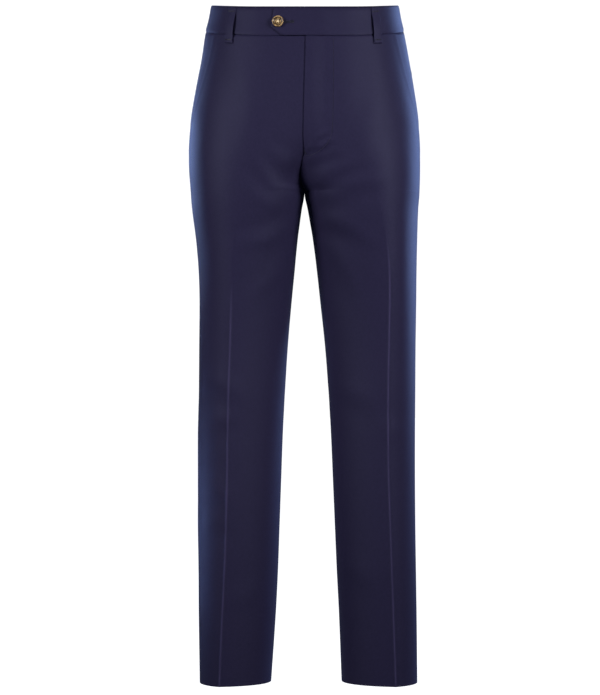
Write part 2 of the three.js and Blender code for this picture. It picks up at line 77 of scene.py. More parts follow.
# %% The table of level sections
COLUMNS = ["z", "outL", "outR", "inL", "inR", "creaseL", "creaseR",
           "front", "back", "side", "inseam", "outFull", "inFull", "press", "meet"]
SECTIONS = np.array([
    [20, 145.5, 144, 0, 0, 26, 26, -104, 104, 0, 0, 0.94, 0.9, 0, 0.95],
    [-2, 149.5, 148, 0, 0, 26, 26, -107, 107, 0, 0, 0.94, 0.9, 0, 0.95],
    [-21, 154, 153, 0, 0, 28, 28, -109.5, 110, 1, 0, 0.93, 0.9, 0, 0.95],
    [-64, 162, 159.5, 0, 0, 32, 32, -114, 117, 2, 0, 0.91, 0.9, 0, 0.95],
    [-111, 170, 168.5, 0, 0, 40, 38, -117, 125, 3, 0, 0.89, 0.88, 0, 0.9],
    [-157, 176.5, 176, 0, 0, 54, 50, -118, 131, 3, 0, 0.88, 0.86, 0, 0.78],
    [-190, 178, 178, 0, 0, 68, 62, -117, 132, 3, 0, 0.88, 0.84, 0, 0.62],
    [-227, 179, 179, 0, 0, 88, 78, -114, 127, 2, -4, 0.89, 0.78, 0, 0.3],
    [-272, 178, 176, 0, 0, 106, 94, -109, 114, 1, -10, 0.92, 0.72, 0.02, 0],
    [-297, 176, 174, 5, 4.2, 113, 99, -106, 106, 0, -8, 0.95, 0.73, 0.05, 0],
    [-343, 174.5, 168, 13, 10.5, 123, 106, -99, 96, -1, -4, 0.98, 0.79, 0.12, 0],
    [-390, 173.5, 164, 19, 15, 128, 109, -93, 88, -2, 0, 1, 0.86, 0.2, 0],
    [-436, 173, 162.5, 24, 19.5, 129, 111, -87, 82, -3, 3, 1, 0.92, 0.26, 0],
    [-506, 172, 163, 31.5, 25.5, 128, 113, -80, 76, -4, 6, 1, 0.96, 0.32, 0],
    [-576, 171.5, 163.5, 37, 30, 127, 115.5, -76, 74, -5, 8, 1, 0.96, 0.36, 0],
    [-645, 171, 165, 41, 33.5, 127, 117, -73, 73, -6, 9, 1, 0.95, 0.39, 0],
    [-715, 171, 165, 44, 36, 128, 118, -71, 73, -6, 9, 1, 0.93, 0.41, 0],
    [-785, 171.5, 165, 47, 38.5, 130.5, 119.5, -70, 72, -7, 10, 1, 0.9, 0.42, 0],
    [-855, 172.5, 164, 50, 41, 133, 122, -69, 71, -7, 10, 1, 0.88, 0.42, 0],
    [-924, 173.5, 163.5, 53.5, 44.5, 135.5, 125.5, -67, 70, -8, 10, 1, 0.84, 0.42, 0],
    [-1027, 174.5, 162, 57.5, 51.5, 139, 130, -66.5, 70, -8, 10, 1, 0.8, 0.42, 0],
])
SIGN = {"L": 1, "R": -1}
OTHER = {"L": "R", "R": "L"}
SIDE_NAME = {"L": "left", "R": "right"}


def smooth(edge0, edge1, value):
    t = np.clip((value - edge0) / (edge1 - edge0), 0, 1)
    return t * t * (3 - 2 * t)


def lerp(start, end, share):
    return start + (end - start) * share


def unit(vectors):
    return vectors / np.linalg.norm(vectors, axis=-1, keepdims=True)


def table_value(column, z):
    """A column of the table at any height, as a cubic through its rows."""
    rows = SECTIONS[:, 0]
    values = SECTIONS[:, COLUMNS.index(column)]
    last = len(rows) - 1
    i = int(np.clip(np.sum(rows > z) - 1, 0, last - 1))

    def slope(k):
        a, b = max(0, k - 1), min(last, k + 1)
        return (values[b] - values[a]) / (rows[b] - rows[a])

    span = rows[i + 1] - rows[i]
    t = float(np.clip((z - rows[i]) / span, 0, 1))
    start = (2 * t**3 - 3 * t**2 + 1) * values[i] + (t**3 - 2 * t**2 + t) * span * slope(i)
    end = (3 * t**2 - 2 * t**3) * values[i + 1] + (t**3 - t**2) * span * slope(i + 1)
    return start + end


print("rows in the table:", len(SECTIONS))

# %% [markdown]
# A section is four quarter turns: inseam to front crease, front crease to side seam, and the same
# two behind. A quarter turn is close to an ellipse. Where the iron has pressed a crease it runs
# straighter into it, so that the crease stays a fine edge.

# %% Level sections
TURN = np.linspace(0, 1, 61)
SEAT_X = 74
LEG_SHAPE_OVER = (-200, -297)


def quarter_turn(start, crease, full, press):
    """From a place where the cloth faces sideways to a crease, where it faces along Y."""
    angle = TURN * math.pi / 2
    across = 1 - np.clip(np.cos(angle), 0, 1) ** full
    along = lerp(np.sin(angle) ** full, TURN, press)
    return np.column_stack([lerp(start[0], crease[0], across), lerp(start[1], crease[1], along)])


def inner_turn(inner, inseam, crease, full, press, meet):
    """The same on the inner side, where the middle plane cuts the start of the turn off."""
    if meet <= 0:
        return quarter_turn((inner, inseam), crease, full, press)
    start = -crease[0] * meet / (1 - meet)
    turn = quarter_turn((start, inseam), crease, full, press)
    first = int(np.argmax(turn[:, 0] > 0))
    a, b = turn[first - 1], turn[first]
    cut = [0, lerp(a[1], b[1], a[0] / (a[0] - b[0]))]
    return np.vstack([cut, turn[first:]])


section_cache = {}


def section_at(leg, z):
    """The half section of one leg at a height, with the distance along it at each point."""
    key = (leg, round(float(z), 4))
    if key in section_cache:
        return section_cache[key]
    value = {name: table_value(name, z) for name in COLUMNS[1:]}
    out = value["out" + leg]
    inner = max(0.0, value["in" + leg])
    front_x = value["crease" + leg]
    back_x = lerp(SEAT_X, inner + out - front_x, smooth(*LEG_SHAPE_OVER, z))
    meet = max(0.0, value["meet"]) if z > CROTCH else 0.0
    side = (out, value["side"])
    front = (front_x, value["front"])
    back = (back_x, value["back"])
    full_in, full_out, press = value["inFull"], value["outFull"], value["press"]
    runs = [
        inner_turn(inner, value["inseam"], front, full_in, press, meet),
        quarter_turn(side, front, full_out, press)[::-1],
        quarter_turn(side, back, full_out, press),
        inner_turn(inner, value["inseam"], back, full_in, press, meet)[::-1],
    ]
    points = np.vstack([runs[0]] + [run[1:] for run in runs[1:]])
    steps = np.hypot(*np.diff(points, axis=0).T)
    arcs = np.concatenate([[0], np.cumsum(steps)])
    marks = np.cumsum([len(run) - 1 for run in runs])
    section = dict(zip(("crease", "side", "back_crease", "end"), arcs[marks]))
    section_cache[key] = {"points": points, "arcs": arcs, **section}
    return section_cache[key]


for height in (BAND_BOTTOM, CROTCH, HEM):
    girth = section_at("L", height)["end"]
    print(f"height {height}: left half section {girth:.0f} mm")

# %% [markdown]
# The waist of such trousers sits lower in front than behind, so the rows near it are tipped. A
# distance along a section leads to a place on the cloth, and short steps round this place give the
# direction out of it.

# %% Places on the cloth
WAIST_TIP = 0.158
WAIST_TIP_EASE = 0.00025
WAIST_TIP_END = -190
NORMAL_STEP = 0.7
EDGE_SAFE = 0.8
FAR_OVER = -1000


def row_points(leg, z, arcs):
    """Points of the cloth at one height. A distance below 0 or past the end is on the other side."""
    own, other = section_at(leg, z), section_at(OTHER[leg], z)
    arcs = np.asarray(arcs, dtype=float)
    over = (arcs < 0) | (arcs > own["end"])
    mirrored = np.where(arcs < 0, -arcs, other["end"] - (arcs - own["end"]))
    points = np.empty((len(arcs), 3))
    for mine, section, sign, where in [
        (~over, own, SIGN[leg], arcs),
        (over, other, -SIGN[leg], mirrored),
    ]:
        for axis in range(2):
            along = np.interp(where[mine], section["arcs"], section["points"][:, axis])
            points[mine, axis] = along * (sign if axis == 0 else 1)
    y = points[:, 1]
    tip = WAIST_TIP * y - WAIST_TIP_EASE * y * y
    points[:, 2] = z + smooth(WAIST_TIP_END, BAND_BOTTOM, z) * tip
    return points


def on_cloth(leg, z, arc, out):
    """One point, moved out of the cloth by a distance, and the direction out of it there."""
    lowest = FAR_OVER if arc < 0 else EDGE_SAFE
    safe = float(np.clip(arc, lowest, section_at(leg, z)["end"] - EDGE_SAFE))
    ahead, behind = row_points(leg, z, [safe + NORMAL_STEP, safe - NORMAL_STEP])
    above = row_points(leg, z + NORMAL_STEP, [safe])[0]
    below = row_points(leg, z - NORMAL_STEP, [safe])[0]
    normal = unit(np.cross(ahead - behind, above - below) * SIGN[leg])
    return row_points(leg, z, [arc])[0] + normal * out, normal


top_front = row_points("L", BAND_TOP, [0])[0]
print("top of the waistband in front:", [round(float(v), 1) for v in top_front], "mm")

# %% [markdown]
# ## Folds
#
# Worn trousers pull from the crotch and the end of the fly, and slump a little at the knee. Each
# fold is a soft ridge with a shallow trough beside it, along a line as seen from the front or from
# behind: where it starts and ends, how wide it is and how high. A pressed leg has few and low ones.

# %% The folds, placed one by one
FRONT_FOLDS = [
    ((-4, -288), (-72, -232), 11, 1.3),
    ((6, -286), (84, -226), 11, 1.5),
    ((-8, -300), (-98, -262), 14, 1.3),
    ((10, -298), (112, -256), 14, 1.4),
    ((-14, -318), (-92, -352), 13, 1.5),
    ((14, -312), (100, -348), 13, 1.6),
    ((-20, -350), (-78, -430), 12, 1.0),
    ((22, -345), (84, -440), 12, 1.0),
    ((16, -199), (38, -187), 3.2, 2.3),
    ((4, -212), (30, -206), 4, 1.4),
    ((22, -213), (44, -198), 4, 1.9),
    ((6, -232), (62, -214), 8, 0.8),
    ((-6, -232), (-58, -210), 10, 0.9),
    ((-112, -60), (-84, -200), 17, 1.1),
    ((112, -62), (92, -200), 17, 1.1),
    ((-152, -556), (-92, -590), 16, 1.2),
    ((-158, -640), (-104, -612), 14, 1.0),
    ((-156, -716), (-110, -748), 15, 1.3),
    ((-158, -786), (-116, -770), 13, 1.0),
    ((56, -574), (112, -600), 18, 1.0),
    ((150, -640), (112, -622), 15, 0.9),
    ((60, -840), (104, -872), 18, 0.9),
    ((-70, -870), (-112, -900), 17, 0.9),
]
BACK_FOLDS = [
    ((10, -320), (112, -296), 12, 2.2),
    ((-10, -322), (-106, -300), 12, 2.1),
    ((12, -350), (120, -338), 14, 1.8),
    ((-12, -352), (-116, -340), 14, 1.7),
    ((20, -392), (108, -372), 15, 1.3),
    ((-22, -396), (-102, -378), 15, 1.2),
    ((44, -560), (130, -584), 15, 1.8),
    ((-40, -556), (-126, -588), 15, 1.7),
    ((48, -604), (136, -606), 14, 1.5),
    ((-44, -606), (-130, -612), 14, 1.4),
    ((54, -650), (132, -634), 16, 1.1),
    ((-50, -654), (-128, -640), 16, 1.2),
    ((60, -150), (20, -240), 18, 1.2),
    ((-62, -152), (-22, -242), 18, 1.2),
    ((70, -880), (130, -900), 18, 0.9),
    ((-66, -884), (-128, -902), 18, 0.9),
]
TROUGH_SHARE = 0.55
TROUGH_AWAY = 1.7
FOLD_BOW = 0.1
FADE_IN = (-0.3, 0.3)
FADE_OUT = (1.35, 0.6)


def fold_height(x, z, folds):
    """How far the folds lift the cloth at a place seen from the front or from behind."""
    total = np.zeros_like(x)
    for (x0, z0), (x1, z1), width, height in folds:
        dx, dz = x1 - x0, z1 - z0
        length = math.hypot(dx, dz)
        along = ((x - x0) * dx + (z - z0) * dz) / length**2
        across = ((x - x0) * dz - (z - z0) * dx) / length
        across = across + FOLD_BOW * length * np.sin(math.pi * np.clip(along, 0, 1))
        fade = smooth(*FADE_IN, along) * smooth(*FADE_OUT, along)
        ridge = np.exp(-((across / width) ** 2))
        trough = np.exp(-(((across - TROUGH_AWAY * width) / width) ** 2))
        total += height * fade * (ridge - TROUGH_SHARE * trough)
    return total


print("folds in front:", len(FRONT_FOLDS), "and behind:", len(BACK_FOLDS))

# %% [markdown]
# ## How a sheet is made
#
# Cloth is cut flat, so each panel starts as a flat grid. The grid is laid on the form, row by row,
# and moved out or in by what is sewn or pressed into it. Only then does it get its thickness, always
# towards the body, so that the outer face keeps the form.

# %% Tools that make a sheet
SHEET_ANGLE = math.radians(50)


def only(obj):
    """Makes this the one selected and active object."""
    bpy.ops.object.select_all(action="DESELECT")
    obj.select_set(True)
    bpy.context.view_layer.objects.active = obj


def apply_modifier(obj, kind, **settings):
    only(obj)
    modifier = obj.modifiers.new(kind.title(), kind)
    for key, value in settings.items():
        setattr(modifier, key, value)
    bpy.ops.object.modifier_apply(modifier=modifier.name)


def grid_normals(points, sign):
    """The direction out of the cloth at each point of a grid whose rows run downwards."""
    down = np.gradient(points, axis=0)
    around = np.gradient(points, axis=1)
    return unit(np.cross(down, around) * sign)


def sheet_from_grid(name, points, flat, out_sign, thickness, pressed_and_highlight=None):
    """A grid primitive laid on these points, with its flat places as UVs, and then thickened."""
    rows, columns = points.shape[:2]
    bpy.ops.object.select_all(action="DESELECT")
    bpy.ops.mesh.primitive_grid_add(x_subdivisions=columns - 1, y_subdivisions=rows - 1, size=1)
    sheet = bpy.context.object
    sheet.name = name
    mesh = sheet.data
    mesh.name = name
    mesh.vertices.foreach_set("co", (points * MM).reshape(-1).astype(np.float32))
    corner = np.empty(len(mesh.loops), dtype=np.int32)
    mesh.loops.foreach_get("vertex_index", corner)
    uv = (flat.reshape(-1, 2) * MM)[corner]
    mesh.uv_layers[0].data.foreach_set("uv", uv.reshape(-1).astype(np.float32))
    # The crease mark is kept on the mesh for the painted highlight along the crease.
    if pressed_and_highlight is not None:
        mark = mesh.attributes.new("pressed_and_highlight", "FLOAT", "POINT")
        mark.data.foreach_set("value", pressed_and_highlight.reshape(-1).astype(np.float32))
    mesh.update()
    wanted = grid_normals(points, out_sign)[rows // 2, columns // 2]
    middle = mesh.polygons[(rows // 2) * (columns - 1) + columns // 2]
    if np.dot(np.array(middle.normal), wanted) < 0:
        only(sheet)
        bpy.ops.object.mode_set(mode="EDIT")
        bpy.ops.mesh.select_all(action="SELECT")
        bpy.ops.mesh.flip_normals()
        bpy.ops.object.mode_set(mode="OBJECT")
    if thickness:
        apply_modifier(sheet, "SOLIDIFY", thickness=thickness * MM, offset=-1)
    only(sheet)
    bpy.ops.object.shade_smooth_by_angle(angle=SHEET_ANGLE)
    return sheet


def leg_sheet(kind, leg, points, flat, wall, pressed_and_highlight=None):
    return sheet_from_grid(f"{kind}_{SIDE_NAME[leg]}", points, flat, SIGN[leg], wall, pressed_and_highlight)


print("a sheet is smoothed over edges up to", round(math.degrees(SHEET_ANGLE)), "degrees")

# %% [markdown]
# The rows of a panel are level, like a cutter's chalk lines. They lie close together at the waist
# seam, where the cloth is tucked in, and round the crotch, where it bends most.

# %% Rows of a panel, and how a grid is laid
TUCK_UP = 2
SEAM_ROWS = np.array([-TUCK_UP, SEAM_GAP, 0.9, 1.8])
BELOW_SEAM = -24
RISE_TOP = -118
TOP_ROWS = 25
RISE_ROWS = 44
RISE_CROWDING = 1.7
LEG_ROWS = 150
LEG_CROWDING = 1.2


def lay(leg, heights, arcs_at, out_at):
    """Lays a grid on the cloth. out_at(points, z, arcs) gives how far each row stands off it."""
    arcs = np.array([arcs_at(z) for z in heights], dtype=float)
    points = np.array([row_points(leg, z, row) for z, row in zip(heights, arcs)])
    normals = grid_normals(points, SIGN[leg])
    z_grid = np.repeat(np.array(heights)[:, None], arcs.shape[1], axis=1)
    points = points + normals * out_at(points, z_grid, arcs)[..., None]
    return points, np.stack([arcs * SIGN[leg], z_grid], axis=2)


def meet_in_middle(points, rows, column, seam_x=0.0):
    """Brings one edge of a panel to its seam at these rows, and keeps the rest beside it."""
    side = np.sign(points[-1, 0, 0])
    beside = side * (points[rows, :, 0] - seam_x)
    points[rows, :, 0] = seam_x + side * np.maximum(beside, SEAM_EDGE)
    points[rows, column, 0] = seam_x + side * SEAM_EDGE


def panel_heights():
    """Rows from behind the waistband to the hem, close together round the crotch."""
    top = [*(BAND_BOTTOM - SEAM_ROWS), *np.linspace(BELOW_SEAM, RISE_TOP, TOP_ROWS)]
    up = 1 - np.arange(1, RISE_ROWS + 1) / RISE_ROWS
    rise = CROTCH + (RISE_TOP - CROTCH) * up**RISE_CROWDING
    down = np.arange(1, LEG_ROWS + 1) / LEG_ROWS
    return np.concatenate([top, rise, CROTCH + (HEM - CROTCH) * down**LEG_CROWDING])


HEIGHTS = panel_heights()
print("rows of a panel:", len(HEIGHTS))

# %% [markdown]
# ## The four panels
#
# Front and back meet at the side seam and at the inseam. A seam pulls the cloth in a little, and the
# pressed crease stands up as a fine ridge. At the waist each panel runs on behind the waistband,
# whose left half rises towards the tab.

# %% What all panels have
BAND_WALL = 2.0
BAND_PROUD = 0.6
TAB_RAISE = 1.8
TAB_RAISE_OVER = (48, 22)
UNDERLAP_SINK = 0.9
UNDERLAP_SINK_OVER = (80, 56)
TUCK_BEHIND = 0.9
TUCK_WIDTH = 0.8

CREASE_HEIGHT = 1.1
CREASE_WIDTH = 1.7
# How wide the painted highlight along the crease is.
CREASE_HIGHLIGHT_WIDTH = 1.15
PINCH_DEPTH = 0.7
PINCH_WIDTH = 2.4
CREASE_OFFSETS = np.array([-4.5, -2.8, -1.6, -0.8, 0, 0.8, 1.6, 2.8, 4.5])
BESIDE_CREASE = 7
EDGE_COLUMNS = np.array([0, 1.0, 2.4, 4.5])
INNER_COLUMNS = 20
OUTER_COLUMNS = 30
CREASE_TOP = {"L": -400, "R": -470}
CREASE_FADE = 70
SEEN_POWER = 0.6


def panel_columns(edge, crease, end):
    """Distances across a panel: fine at both edges and at the crease."""
    first, last = edge + EDGE_COLUMNS, end - EDGE_COLUMNS[::-1]
    inside = np.linspace(first[-1], crease - BESIDE_CREASE, INNER_COLUMNS)
    outside = np.linspace(crease + BESIDE_CREASE, last[0], OUTER_COLUMNS)
    return np.concatenate([first[:-1], inside, crease + CREASE_OFFSETS, outside, last[1:]])


def pinch(distance, depth=PINCH_DEPTH):
    return -depth * np.exp(-((distance / PINCH_WIDTH) ** 2))


def band_shift(leg, arcs):
    """The left half of the waistband rises towards the tab, the right half sinks behind it."""
    if leg == "L":
        return TAB_RAISE * smooth(*TAB_RAISE_OVER, arcs)
    return -UNDERLAP_SINK * smooth(*UNDERLAP_SINK_OVER, arcs)


def tucked(out, leg, z, arcs):
    """Leads a panel in under the waistband, so that it runs on behind the seam."""
    behind = BAND_PROUD + band_shift(leg, arcs) - BAND_WALL - TUCK_BEHIND
    near = np.exp(-((np.minimum(0, z - BAND_BOTTOM) / TUCK_WIDTH) ** 2))
    return lerp(out, behind, near)


def crease_share(leg, z, from_crease, width=CREASE_WIDTH):
    """How far a place is pressed: 1 on the crease, fading beside it and above it. It lifts the crease
    ridge, and at a narrower width it marks the painted highlight along the crease.
    """
    pressed_and_highlight = smooth(CREASE_TOP[leg] + CREASE_FADE, CREASE_TOP[leg] - CREASE_FADE / 3, z)
    return pressed_and_highlight * np.exp(-((from_crease / width) ** 2))


def seen_share(towards):
    """How much a fold lifts the cloth where it turns away from the front or from the back."""
    return np.clip(towards, 0, 1) ** SEEN_POWER


def panel_marks(leg, edges):
    """Where each row of a panel has its first edge, its crease and its last edge."""
    marks = np.array([edges(leg, row) for row in HEIGHTS])
    return marks[:, 0:1], marks[:, 1:2], marks[:, 2:3]


def sew_panel(kind, leg, points, flat, edges):
    """Marks the crease of a laid panel for the painted highlight along it, and gives the panel its
    thickness.
    """
    crease = panel_marks(leg, edges)[1]
    pressed_and_highlight = crease_share(leg, flat[..., 1], flat[..., 0] * SIGN[leg] - crease, CREASE_HIGHLIGHT_WIDTH)
    return leg_sheet("cloth_" + kind, leg, points, flat, CLOTH, pressed_and_highlight)


print("crease ridge:", CREASE_HEIGHT, "mm high")

# %% [markdown]
# The wearer's left front laps over the right one at the fly, and below it the seam is pulled over to
# one side. At the edge of the slanted pocket the cloth is turned under and stands up a little.

# %% Front panels
FLY_END = -216
FLY_LAP_LOW = 2.5
FLY_LAP_TOP = -2.0
FLY_UNDER = 6
FLY_RAISE = 2.5
FLY_RAISE_OVER = (34, 8)
UNDER_RAISE = 0.7
UNDER_RAISE_OVER = (16, 2)
FLY_SEAM_OVER = (-211, -231)
FLY_FADE = 25
DRIFT = 7.2
DRIFT_MOST_AT = -247
DRIFT_SPAN = 22
DRIFT_WIDTH = 45
DRIFT_DEPTH = 40
DRIFT_START = 6
DRIFT_STOP = 12

MOUTH_SET_IN = 58
MOUTH_END = -210
MOUTH_OPEN_OVER = (-222, -204)
MOUTH_TURNED = 0.5
MOUTH_TURN_OVER = (7.5, 5.5)


def mouth_set_in(z):
    share = np.clip((BAND_BOTTOM - z) / (BAND_BOTTOM - MOUTH_END), 0, 1)
    return MOUTH_SET_IN * (1 - share**3)


def fly_lap(z):
    """How far the left front reaches over the middle. Its edge leans, as the photo shows."""
    lean = lerp(FLY_LAP_TOP, FLY_LAP_LOW, np.clip((BAND_BOTTOM - z) / (BAND_BOTTOM - FLY_END), 0, 1))
    return lean * smooth(FLY_END, FLY_END + FLY_FADE, z)


def fly_under(z):
    """How far the right front reaches on under the left one."""
    return FLY_UNDER * smooth(FLY_END + FLY_FADE, FLY_END + 2 * FLY_FADE, z)


def drifted(points, z):
    """Below the fly the front seam is pulled over to the wearer's right, and back at the crotch."""
    bow = np.exp(-(((z - DRIFT_MOST_AT) / DRIFT_SPAN) ** 2))
    ends = smooth(FLY_END, FLY_END - DRIFT_START, z) * smooth(CROTCH, CROTCH + DRIFT_STOP, z)
    near = np.exp(-((points[..., 0] / DRIFT_WIDTH) ** 2)) * smooth(0, -DRIFT_DEPTH, points[..., 1])
    moved = points.copy()
    moved[..., 0] -= DRIFT * bow * ends * near
    return moved


def front_out(leg, x, z, arcs, crease, end, z_seen, facing):
    """How far the front stands off the form: lap, crease, seams and folds."""
    out = fold_height(x, z_seen, FRONT_FOLDS) * facing
    out += CREASE_HEIGHT * crease_share(leg, z, arcs - crease)
    lift, over = (FLY_RAISE, FLY_RAISE_OVER) if leg == "L" else (UNDER_RAISE, UNDER_RAISE_OVER)
    out += smooth(FLY_END - FLY_FADE, FLY_END, z) * (lift * smooth(*over, arcs))
    out += pinch(arcs) * smooth(*FLY_SEAM_OVER, z)
    mouth_open = smooth(*MOUTH_OPEN_OVER, z)
    out += pinch(end - arcs) * (1 - mouth_open)
    out += MOUTH_TURNED * smooth(*MOUTH_TURN_OVER, end - arcs) * mouth_open
    return tucked(out, leg, z, arcs)


def front_edges(leg, z):
    section = section_at(leg, z)
    edge = SEAM_EDGE - (fly_lap(z) if leg == "L" else fly_under(z))
    end = section["side"] - max(SEAM_EDGE, mouth_set_in(z))
    return edge, section["crease"], end


def front_panel(leg):
    def out_at(points, z, arcs):
        _, crease, end = panel_marks(leg, front_edges)
        facing = seen_share(-grid_normals(points, SIGN[leg])[..., 1])
        return front_out(leg, points[..., 0], z, arcs, crease, end, points[..., 2], facing)

    points, flat = lay(leg, HEIGHTS, lambda z: panel_columns(*front_edges(leg, z)), out_at)
    below_fly = (HEIGHTS < FLY_END) & (HEIGHTS >= CROTCH)
    meet_in_middle(points, below_fly, 0)
    points = drifted(points, HEIGHTS[:, None])
    return sew_panel("front", leg, points, flat, front_edges)


print("lap near the end of the fly:", round(float(fly_lap(FLY_END + FLY_FADE)), 1), "mm")

# %% [markdown]
# The back panels are the wider ones and meet in the seat seam. Their main folds lie under the seat
# and behind the knee.

# %% Back panels, and all four cut
SEAT_SEAM_X = 0.5


def back_edges(leg, z):
    section = section_at(leg, z)
    return section["side"] + SEAM_EDGE, section["back_crease"], section["end"] - SEAM_EDGE


def back_panel(leg):
    def out_at(points, z, arcs):
        edge, crease, end = panel_marks(leg, back_edges)
        facing = seen_share(grid_normals(points, SIGN[leg])[..., 1])
        out = fold_height(points[..., 0], points[..., 2], BACK_FOLDS) * facing
        out += CREASE_HEIGHT * crease_share(leg, z, arcs - crease)
        out += pinch(arcs - edge) + pinch(end - arcs)
        return tucked(out, leg, z, arcs)

    points, flat = lay(leg, HEIGHTS, lambda z: panel_columns(*back_edges(leg, z)), out_at)
    meet_in_middle(points, HEIGHTS >= CROTCH, -1, SEAT_SEAM_X)
    return sew_panel("back", leg, points, flat, back_edges)


panels = {}
for leg in "LR":
    panels["front", leg] = front_panel(leg)
    panels["back", leg] = back_panel(leg)
    print(SIDE_NAME[leg], "front and back:", len(panels["front", leg].data.polygons), "faces each")

# %% [markdown]
# ## Behind the openings
#
# A facing of the same cloth closes the slanted pocket from behind, so that no skin shows when the
# mouth gapes. At the side seam it comes up level with the back panel. The fly shield does the same
# behind the lapped edges of the fly.

# %% Pocket facings and fly shield
FACING_UNDER = 12
FACING_EASE = 30
FACING_RISE = 6
FACING_DEEPER = 1.0
FACING_LEAST = 3
FACING_BELOW_MOUTH = 3
FACING_HEIGHTS = HEIGHTS[HEIGHTS > MOUTH_END - FACING_BELOW_MOUTH]
FACING_FIRST = 6
FACING_COLUMNS = 22
SHIELD_RIGHT = 32
SHIELD_LEFT = 36
SHIELD_END = -172
SHIELD_BEHIND = 1.5
SHIELD_HEIGHTS = HEIGHTS[HEIGHTS > SHIELD_END]
SHIELD_COLUMNS = 18
BEHIND_TUCK = 2.5


def under_band(z):
    """Takes what lies behind a panel in further, where the panel is tucked under the waistband."""
    return pinch(np.minimum(0, z - BAND_BOTTOM), BEHIND_TUCK)


def pocket_facing(leg):
    def arcs_at(z):
        side = section_at(leg, z)["side"]
        mouth = min(side - mouth_set_in(z), side - FACING_LEAST)
        shown = np.linspace(mouth - FACING_FIRST, side - SEAM_GAP, FACING_COLUMNS)
        return np.concatenate([[mouth - FACING_UNDER], shown])

    def out_at(points, z, arcs):
        sides = np.array([section_at(leg, row)["side"] for row in FACING_HEIGHTS])[:, None]
        mouth = sides - mouth_set_in(z)
        under = -(CLOTH + SEAM_GAP + FACING_DEEPER)
        rise_from = np.maximum(mouth, sides - FACING_RISE)
        at_side = smooth(0, 1, (arcs - rise_from) / np.maximum(1, sides - rise_from))
        level = np.maximum(smooth(mouth, mouth + FACING_EASE, arcs), at_side)
        return under * (1 - level) + pinch(sides - arcs) + under_band(z)

    return leg_sheet("facing", leg, *lay(leg, FACING_HEIGHTS, arcs_at, out_at), CLOTH)


facings = {leg: pocket_facing(leg) for leg in "LR"}

shield_points, shield_flat = lay(
    "L",
    SHIELD_HEIGHTS,
    lambda z: np.linspace(-SHIELD_RIGHT, SHIELD_LEFT, SHIELD_COLUMNS),
    lambda points, z, arcs: under_band(z) - (SHIELD_BEHIND + SEAM_GAP),
)
shield = sheet_from_grid("shield_of_fly", shield_points, shield_flat, 1, CLOTH)
print("facings and shield:", len(facings) + 1)

# %% [markdown]
# ## Waistband
#
# The waistband is two layers of cloth with a stiffening between, so it is thicker and keeps its
# curve. The left half runs on over the middle into the pointed tab, and the right half ends behind
# it as the underlap. Its edges are rounded where the cloth is turned in.

# %% Waistband with its tab
TAB_TIP = 50.5
TAB_TOP_CORNER = 46
TAB_BOTTOM_CORNER = 34.5
TAB_TIP_HEIGHT = -7
UNDERLAP_REACH = 18
BAND_ROWS = np.array([20, 19.6, 18.8, 17.4, 15, 11.5, 7.5, 4, 0.5, -3, -5.5, -7, -9.5, -12.5,
                      -15.5, -17.8, -19.2, -20])
BAND_START = np.array([0, 0.7, 1.6, 3, 5.5])
BAND_STOP = np.array([3, 1.2, 0])
BAND_COLUMNS = 110
ROLL_DEPTH = 0.75
ROLL_WIDTH = 1.6


def tab_end(z):
    if z > TAB_TIP_HEIGHT:
        return lerp(TAB_TIP, TAB_TOP_CORNER, (z - TAB_TIP_HEIGHT) / (BAND_TOP - TAB_TIP_HEIGHT))
    return lerp(TAB_TIP, TAB_BOTTOM_CORNER, (TAB_TIP_HEIGHT - z) / (TAB_TIP_HEIGHT - BAND_BOTTOM))


def rolled(distance):
    """The turned-in edge of a stiffened piece."""
    return -ROLL_DEPTH * np.exp(-((distance / ROLL_WIDTH) ** 2))


def waistband(leg):
    def arcs_at(z):
        start = -(tab_end(z) if leg == "L" else UNDERLAP_REACH) + BAND_START
        stop = section_at(leg, z)["end"] - SEAM_GAP / 2 - BAND_STOP
        between = np.linspace(start[-1], stop[0], BAND_COLUMNS)
        return np.concatenate([start[:-1], between, stop[1:]])

    def out_at(points, z, arcs):
        out = BAND_PROUD + band_shift(leg, arcs) + rolled(BAND_TOP - z) + rolled(z - BAND_BOTTOM)
        if leg == "L":
            out += rolled(arcs + np.array([tab_end(row) for row in BAND_ROWS])[:, None])
        return out

    return leg_sheet("band", leg, *lay(leg, BAND_ROWS, arcs_at, out_at), BAND_WALL)


bands = {leg: waistband(leg) for leg in "LR"}
for band in bands.values():
    print(band.name, "faces:", len(band.data.polygons))

# %% [markdown]
# ## Belt loops
#
# A belt loop is a narrow strip, sewn into the top of the waistband and turned under at its lower
# end. Between the two it stands off, so that a belt can pass. The strip is laid down the body along
# a path of heights and distances off the cloth.

# %% Five belt loops
LOOP_WIDTH = 14
LOOP_PATH = np.array([
    [19.2, 2.3], [17, 2.5], [14, 2.45], [11.5, 2.5], [9, 3.0], [6, 3.7], [2, 4.5], [-3, 5.2],
    [-8, 5.5], [-13, 5.4], [-17, 4.9], [-21, 4.1], [-24, 3.6], [-27, 3.45], [-31, 3.45],
    [-33.2, 3.35], [-34.4, 2.9], [-34.8, 2.0], [-34.4, 1.0], [-33.2, 0.5], [-30, 0.4], [-25, 0.4],
])
LOOP_FACE = LOOP_PATH[:15]
LOOP_ACROSS = np.array([-1, -0.93, -0.8, -0.5, 0, 0.5, 0.8, 0.93, 1]) * LOOP_WIDTH / 2
LOOP_THICK = 1.25
LOOP_EDGE_LOWER = 0.4
ROWS_PER_PLACE = 3
LOOP_PLACES = {
    "loop_front_left": ("L", 113.8, 0.24),
    "loop_front_right": ("R", 118, 0.3),
    "loop_side_left": ("L", 262, 1.0),
    "loop_side_right": ("R", 262, 1.0),
}


